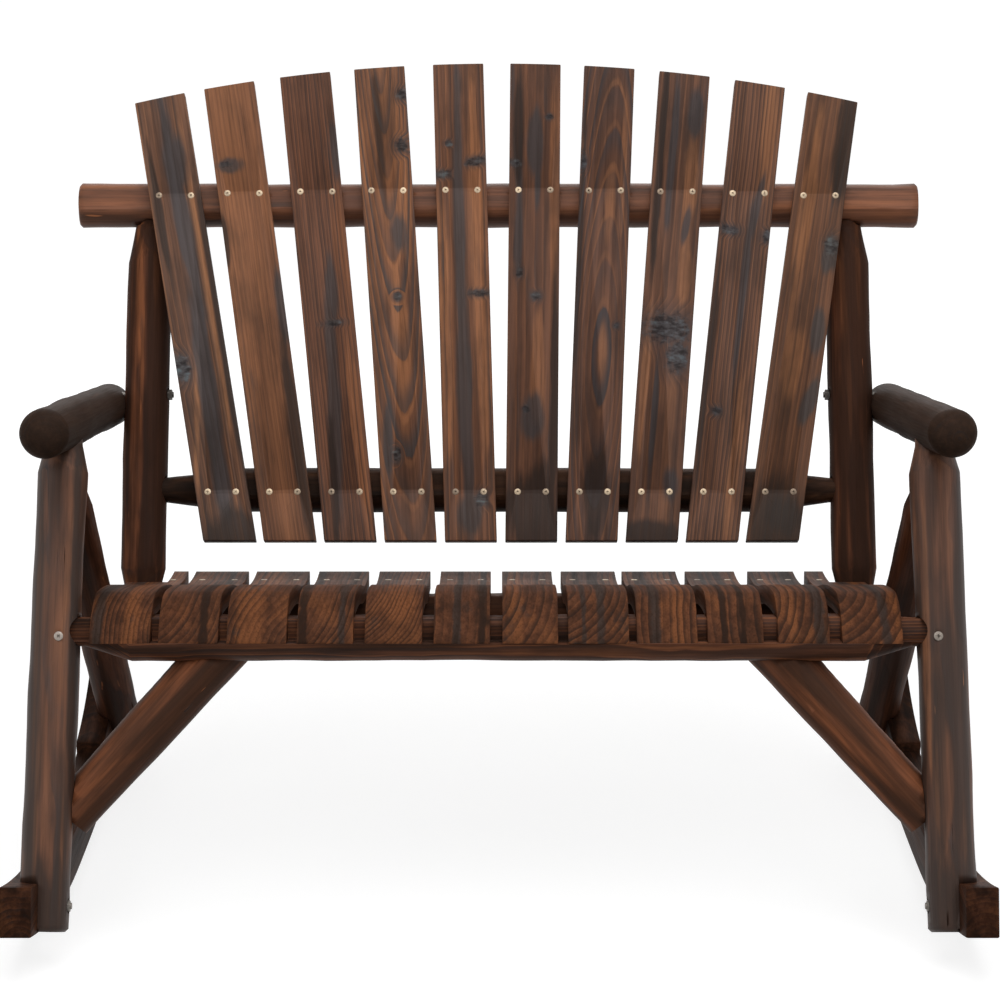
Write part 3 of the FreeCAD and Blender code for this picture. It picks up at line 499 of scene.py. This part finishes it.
def knots(graph, board, grain, look):
    """How much of a point lies in a knot and in its halo, and how far the knots push the rings."""
    body, halo, push = 0.0, 0.0, 0.0
    for knot in look["knots"]:
        far = graph.math("MULTIPLY_ADD", grain["frayed"], KNOT_FRAY, oval(graph, board, knot))
        near = graph.smooth(far, *HALO_EDGE)
        push = graph.math("MULTIPLY_ADD", near, knot[2] * KNOT_PUSH, push)
        ragged = graph.math("SUBTRACT", far, KNOT_CURL_CENTRE)
        ragged = graph.math("MULTIPLY_ADD", grain["curl"], KNOT_CURL, ragged)
        body = graph.math("MAXIMUM", body, graph.smooth(ragged, *KNOT_EDGE))
        halo = graph.math("MAXIMUM", halo, near)
    return body, halo, push


def rings(graph, reach, look, seed):
    """The dark late wood of each ring and the pale line that follows it."""
    turns = graph.math("DIVIDE", reach, look["spacing"])
    number = graph.node("ShaderNodeCombineXYZ", {"X": graph.math("FLOOR", turns), "Y": seed * LOUD_SEED})
    loud = graph.smooth(graph.noise(number.outputs[0], detail=0, scale=LOUD_SCALE), *LOUD_RANGE)
    saw = graph.math("FRACT", turns)
    late = graph.math("MULTIPLY", graph.smooth(saw, *LATE_START), graph.smooth(saw, *LATE_END))
    pale = graph.math("MULTIPLY", graph.smooth(saw, *PALE_START), graph.smooth(saw, *PALE_END))
    ring = graph.math("MULTIPLY", late, loud)
    line = graph.math("MULTIPLY", pale, graph.math("MULTIPLY", loud, look["edge"]))
    return ring, line


def burns(graph, board, grain, ring, halo, look):
    """How far a point is charred grey, left bright orange and burnt to soot."""
    char = graph.math("MULTIPLY_ADD", ring, CHAR_RING, grain["char"])
    char = graph.smooth(char, look["char"], look["char"] + CHAR_FADE)
    char = graph.math("MAXIMUM", char, graph.math("MULTIPLY", halo, CHAR_HALO))
    char = graph.math("MAXIMUM", char, spots(graph, board, grain["frayed"], look["grey"]))
    bright = graph.smooth(grain["tone"], look["orange"], look["orange"] + ORANGE_FADE, 0.0, ORANGE_MOST)
    bright = graph.math("MAXIMUM", bright, spots(graph, board, grain["frayed"], look["amber"]))
    burnt = graph.smooth(grain["tone"], look["soot"], look["soot"] - SOOT_FADE, 0.0, SOOT_MOST)
    burnt = graph.math("MAXIMUM", burnt, spots(graph, board, grain["frayed"], look["dark"]))
    return char, bright, burnt


def knot_colour(graph, grain):
    """Black wood with ash-grey curls."""
    colour = graph.mix(graph.smooth(grain["knot"], *KNOT_CHAR_RANGE), KNOT_DARK, CHAR)
    grey = graph.smooth(grain["knot"], *KNOT_GREY_RANGE, 0.0, KNOT_GREY_COVER)
    return graph.mix(grey, colour, KNOT_GREY)


def wood(node, look, seed):
    """Carbonised fir: rings about an off-centre pith, knots, char along the grain and a satin lacquer."""
    material, graph, shader = new_material(f"wood_{node}")
    board = board_coordinates(graph, node)
    grain = grain_noises(graph, board, look, seed)
    knot, halo, push = knots(graph, board, grain, look)
    reach = graph.math("ADD", ring_reach(graph, board, grain, look), push)
    ring, line = rings(graph, reach, look, seed)
    char, bright, burnt = burns(graph, board, grain, ring, halo, look)
    scorched = graph.math("MAXIMUM", char, burnt)
    clear = graph.math("SUBTRACT", 1.0, graph.math("MULTIPLY", scorched, LINE_LOSS))

    # Each layer lies over the ones before: how much of it shows, and its colour.
    layers = (
        (graph.math("MULTIPLY", bright, BURN_COVER), ORANGE_WOOD),
        (graph.math("MULTIPLY", char, BURN_COVER), CHAR),
        (graph.math("MULTIPLY", burnt, BURN_COVER), SOOT),
        (graph.math("MULTIPLY", ring, look["contrast"]), graph.mix(look["ash"], LATE_WOOD, CHAR)),
        (graph.math("MULTIPLY", line, clear), ORANGE_WOOD),
        (graph.smooth(grain["blotch"], *BLOTCH_RANGE, 0.0, look["blotch"]), SOOT),
        (graph.smooth(grain["fibre"], *FIBRE_RANGE, 0.0, FIBRE_COVER), LATE_WOOD),
        (graph.smooth(grain["scratch"], look["scratch"], look["scratch"] + SCRATCH_FADE), ORANGE_WOOD),
        (graph.math("MULTIPLY", knot, KNOT_COVER), knot_colour(graph, grain)),
    )
    colour = graph.mix(graph.smooth(grain["streak"], *STREAK_RANGE), WARM_WOOD, EARLY_WOOD)
    for amount, layer in layers:
        colour = graph.mix(amount, colour, layer)
    graph.feed(shader.inputs["Base Color"], graph.mix(1.0, colour, look["tint"], "MULTIPLY"))

    rough = graph.math("MULTIPLY_ADD", grain["fibre"], FIBRE_ROUGH, look["rough"])
    graph.feed(shader.inputs["Roughness"], graph.math("MULTIPLY_ADD", char, CHAR_ROUGH, rough))
    relief = graph.math("MULTIPLY", grain["fibre"], FIBRE_RELIEF)
    relief = graph.math("MULTIPLY_ADD", ring, RING_RELIEF, relief)
    inputs = {"Height": relief, "Strength": RELIEF_STRENGTH, "Distance": RELIEF_DEPTH}
    graph.feed(shader.inputs["Normal"], graph.node("ShaderNodeBump", inputs).outputs[0])
    shader.inputs["Specular IOR Level"].default_value = look["gloss"]
    return material


def metal(name, bright, dull, rough):
    """Plated metal that has dulled, each fastener more or less and every one unevenly."""
    material, graph, shader = new_material(name)
    place = graph.place()
    age = graph.noise(place, AGE_DETAIL, scale=AGE_SCALE)
    stain = graph.noise(place, STAIN_DETAIL, scale=STAIN_SCALE)
    worn = graph.math("MULTIPLY_ADD", age, AGE_SHARE, AGE_OFFSET)
    worn = graph.math("MULTIPLY_ADD", stain, STAIN_SHARE, worn)
    graph.feed(shader.inputs["Base Color"], graph.mix(graph.smooth(worn, *DULL_RANGE), bright, dull))
    graph.feed(shader.inputs["Roughness"], graph.math("MULTIPLY_ADD", stain, STAIN_ROUGH, rough))
    shader.inputs["Metallic"].default_value = 1.0
    return material


def dress(node, material):
    """Gives a node of the frame a material and keeps its mesh."""
    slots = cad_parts[node].data.materials
    slots.clear()
    slots.append(material)


def replacement(node, mesh, material, slot):
    """Puts a finer mesh in place of a node of the frame."""
    mesh.materials.append(material)
    piece = bpy.data.objects.new(f"{node}_fine", mesh)
    scene.collection.objects.link(piece)
    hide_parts(node)
    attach(piece, "root")


def as_mesh(shape, name):
    """Turns a shape into a mesh and frees it."""
    mesh = bpy.data.meshes.new(name)
    shape.to_mesh(mesh)
    shape.free()
    return mesh


def shaded(shape, node, crease):
    """The finer mesh of a node, shaded smooth but for edges sharper than the crease."""
    mesh = as_mesh(shape, f"{node}_fine")
    mesh.polygons.foreach_set("use_smooth", [True] * len(mesh.polygons))
    mesh.set_sharp_from_angle(angle=crease)
    return mesh


def revolved(profile, steps):
    """A closed solid turned about Z from (radius, height) points that start and end on the axis."""
    shape = bmesh.new()
    angles = [2 * math.pi * step / steps for step in range(steps)]
    circles = []
    for radius, height in profile[1:-1]:
        points = [(radius * math.cos(angle), radius * math.sin(angle), height) for angle in angles]
        circles.append([shape.verts.new(point) for point in points])
    top = shape.verts.new((0, 0, profile[0][1]))
    bottom = shape.verts.new((0, 0, profile[-1][1]))
    for step in range(steps):
        after = (step + 1) % steps
        shape.faces.new((top, circles[0][step], circles[0][after]))
        shape.faces.new((bottom, circles[-1][after], circles[-1][step]))
        for upper, lower in zip(circles, circles[1:]):
            shape.faces.new((upper[step], lower[step], lower[after], upper[after]))
    return shape


def cross_recess(head):
    """The tapering cross that is cut from a screw's head."""
    reach, half = RECESS_REACH * head, RECESS_HALF * head
    outline = [
        (reach, half), (half, half), (half, reach), (-half, reach), (-half, half), (-reach, half),
        (-reach, -half), (-half, -half), (-half, -reach), (half, -reach), (half, -half), (reach, -half),
    ]
    shape = bmesh.new()
    depth = RECESS_DEPTH * head
    brim = [shape.verts.new((x, y, head)) for x, y in outline]
    deep = [shape.verts.new((x * RECESS_TAPER, y * RECESS_TAPER, -depth)) for x, y in outline]
    shape.faces.new(brim)
    shape.faces.new(deep[::-1])
    for index in range(len(outline)):
        after = (index + 1) % len(outline)
        shape.faces.new((brim[index], deep[index], deep[after], brim[after]))
    return shape


def screw_mesh(head, length):
    """A raised countersunk screw with a cross recess, its head's rim at the origin."""
    profile = [(radius * head, height * head) for radius, height in HEAD_PROFILE]
    profile += [(SHANK_RADIUS, -HEAD_DEPTH * head), (SHANK_RADIUS, -length), (0, -length)]
    solid = as_mesh(revolved(profile, SCREW_SIDES), "screw_head")
    recess = as_mesh(cross_recess(head), "screw_recess")
    body = bpy.data.objects.new("screw_head", solid)
    tool = bpy.data.objects.new("screw_recess", recess)
    for item in (body, tool):
        scene.collection.objects.link(item)
    boolean = body.modifiers.new("recess", "BOOLEAN")
    boolean.object = tool
    boolean.operation = "DIFFERENCE"
    boolean.solver = "EXACT"
    cut = bpy.data.meshes.new_from_object(body.evaluated_get(bpy.context.evaluated_depsgraph_get()))
    for item in (body, tool):
        bpy.data.objects.remove(item)
    return cut


def islands(mesh):
    """The separate solids of a group node, each as an array of its points."""
    shape = bmesh.new()
    shape.from_mesh(mesh)
    bmesh.ops.remove_doubles(shape, verts=shape.verts, dist=WELD)
    found = set()
    for first in shape.verts:
        if first in found:
            continue
        found.add(first)
        queue, points = [first], []
        while queue:
            vert = queue.pop()
            points.append(tuple(vert.co))
            for edge in vert.link_edges:
                other = edge.other_vert(vert)
                if other not in found:
                    found.add(other)
                    queue.append(other)
        yield np.array(points)
    shape.free()


def screw_place(points, turn):
    """Where a screw of the frame sits: its head's rim and the way it points, with the recess turned."""
    middle = points.mean(0)
    axis = np.linalg.svd(points - middle, full_matrices=False)[2][0]
    along = (points - middle) @ axis
    radial = np.linalg.norm(points - middle - np.outer(along, axis), axis=1)
    if along[radial.argmax()] < 0:
        axis, along = -axis, -along
    rim = Matrix.Translation(Vector(middle + axis * along.max()))
    pointing = Vector(axis).to_track_quat("Z", "Y").to_matrix().to_4x4()
    return rim @ pointing @ Matrix.Rotation(turn, 4, "Z")


def screws(node, head, length, plating, slot):
    """Replaces a node of plain screws by screws with cross recesses."""
    master = screw_mesh(head, length)
    shape = bmesh.new()
    for index, points in enumerate(islands(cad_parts[node].data)):
        before = len(shape.verts)
        shape.from_mesh(master)
        shape.verts.ensure_lookup_table()
        place = screw_place(points, SCREW_TURN * index)
        bmesh.ops.transform(shape, matrix=place, verts=shape.verts[before:])
    replacement(node, as_mesh(shape, f"{node}_fine"), plating, slot)


def cleaned(shape):
    """Welds points that coincide and takes out the faces that have no area."""
    bmesh.ops.remove_doubles(shape, verts=shape.verts, dist=WELD)
    bmesh.ops.dissolve_degenerate(shape, edges=shape.edges, dist=WELD)


def node_shape(node):
    """A clean copy of a node's mesh, to work on."""
    shape = bmesh.new()
    shape.from_mesh(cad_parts[node].data)
    cleaned(shape)
    return shape


def eased(node, ease):
    """A copy of a node's mesh with its long sharp edges rounded over."""
    shape = node_shape(node)
    bmesh.ops.dissolve_limit(shape, angle_limit=FLAT_ANGLE, verts=shape.verts, edges=shape.edges)
    sharp = [
        edge for edge in shape.edges
        if len(edge.link_faces) == 2 and edge.calc_length() > EASED_LENGTH
        and edge.calc_face_angle() > EASED_ANGLE
    ]
    bmesh.ops.bevel(
        shape, geom=sharp, offset=ease, segments=EASE_STEPS, profile=0.5, affect="EDGES",
        clamp_overlap=True)
    cleaned(shape)
    bmesh.ops.triangulate(shape, faces=shape.faces)
    return shaded(shape, node, BOARD_CREASE)


def peeled(node, swell):
    """A copy of a log's mesh with the slow swells and hollows of a peeled pole."""
    shape = node_shape(node)
    turn, origin = board_frame(node)
    along = turn[1]
    spans = [(vert.co - origin) @ along for vert in shape.verts]
    for place in np.arange(min(spans) + LOG_STEP / 2, max(spans), LOG_STEP):
        geometry = [*shape.verts, *shape.edges, *shape.faces]
        bmesh.ops.bisect_plane(
            shape, geom=geometry, dist=WELD, plane_co=origin + along * place, plane_no=along)
    bmesh.ops.triangulate(shape, faces=shape.faces)
    cleaned(shape)
    shape.normal_update()
    for vert in shape.verts:
        bulge = sum(share * noise.noise(vert.co * often) for often, share in SWELLS)
        vert.co += vert.normal * swell * bulge
    return shaded(shape, node, LOG_CREASE)


def look_of(node):
    """The whole look of a wooden piece: what its kind shares and what is its own."""
    if node.startswith("back_slat_"):
        return dict(SLAT, **BACK_SLATS[int(node[-2:]) - 1])
    if node.startswith("seat_slat_"):
        return dict(SEAT_SLAT, **SEAT_SLATS[int(node[-2:]) - 1])
    return dict(LOG, **LOG_LOOKS[node.removesuffix("_left").removesuffix("_right")])


def timber(node, seed):
    """Replaces a slat, a runner or a log by its finer mesh in its own wood."""
    material = wood(node, look_of(node), seed)
    if "_slat_" in node:
        replacement(node, eased(node, SLAT_EASE), material, "sawn_slats")
    elif node.startswith("runner_"):
        replacement(node, eased(node, RUNNER_EASE), material, "runner_planks")
    else:
        replacement(node, peeled(node, LOG_SWELL), material, "round_logs")


def pale_floor():
    """A pale floor without end that keeps the object's shadow and can't be seen from below."""
    mesh = bpy.data.meshes.new("floor")
    signs = ((-1, -1), (1, -1), (1, 1), (-1, 1))
    mesh.from_pydata([(x * FLOOR_REACH, y * FLOOR_REACH, 0) for x, y in signs], [], [(0, 1, 2, 3)])
    floor = bpy.data.objects.new("floor", mesh)
    scene.collection.objects.link(floor)
    material, graph, _ = new_material("studio_floor")
    away = graph.length(graph.place())
    level = graph.smooth(away, GLOW_NEAR, GLOW_FAR, GLOW_LOW, GLOW_HIGH)
    strength = graph.math("MULTIPLY", graph.seen(), level)
    glow = graph.node("ShaderNodeEmission", {"Color": WHITE, "Strength": strength})
    matt = graph.node("ShaderNodeBsdfDiffuse", {"Color": FLOOR_GREY})
    above = graph.node("ShaderNodeAddShader", {0: glow.outputs[0], 1: matt.outputs[0]})
    below = graph.node("ShaderNodeBsdfTransparent")
    beneath = graph.node("ShaderNodeNewGeometry").outputs["Backfacing"]
    sided = graph.node("ShaderNodeMixShader", {0: beneath, 1: above.outputs[0], 2: below.outputs[0]})
    graph.feed(material.node_tree.nodes["Material Output"].inputs["Surface"], sided.outputs[0])
    mesh.materials.append(material)


def lamps():
    """A large soft light overhead, weak lamps on both sides and one behind the object."""
    for name, place, size, power in LAMPS:
        lamp = bpy.data.lights.new(name, "AREA")
        lamp.size = size
        lamp.energy = power
        holder = bpy.data.objects.new(name, lamp)
        holder.location = place
        holder.rotation_euler = (LAMP_AIM - Vector(place)).to_track_quat("-Z", "Y").to_euler()
        scene.collection.objects.link(holder)


def surround():
    """A surround that is white to the camera and lights the object only a little."""
    world = bpy.data.worlds.new("surround")
    world.use_nodes = True
    graph = Graph(world.node_tree)
    background = world.node_tree.nodes["Background"]
    background.inputs["Color"].default_value = WHITE
    strength = graph.math("MULTIPLY_ADD", graph.seen(), SURROUND_SEEN, SURROUND_LIGHT)
    graph.feed(background.inputs["Strength"], strength)
    scene.world = world


def camera():
    """The photograph's view of the object."""
    lens = bpy.data.cameras.new("photograph")
    lens.sensor_width = CAMERA_SENSOR
    lens.lens = CAMERA_LENS
    lens.shift_x = CAMERA_SHIFT
    lens.clip_end = CAMERA_FAR
    holder = bpy.data.objects.new("photograph", lens)
    holder.location = CAMERA_PLACE
    holder.rotation_euler = (math.pi / 2 - CAMERA_PITCH, 0, 0)
    scene.collection.objects.link(holder)
    scene.camera = holder


brass = metal("brass", bright=(0.42, 0.33, 0.23), dull=(0.16, 0.12, 0.09), rough=0.36)
nickel = metal("nickel", bright=(0.30, 0.26, 0.23), dull=(0.14, 0.12, 0.10), rough=0.42)
zinc = metal("zinc", bright=(0.22, 0.20, 0.18), dull=(0.06, 0.055, 0.05), rough=0.38)
for seed, node in enumerate(sorted(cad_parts)):
    if node == "rail_lock_screws":
        screws(node, *LOCK_SCREW, nickel, "steel_hardware")
    elif "screws" in node:
        screws(node, *SLAT_SCREW, brass, "brass_screws")
    elif node.split("_")[-1] in ("bolts", "nuts", "washers"):
        dress(node, zinc)
    else:
        timber(node, seed)
pale_floor()
lamps()
surround()
camera()
scene.view_settings.view_transform = "Standard"
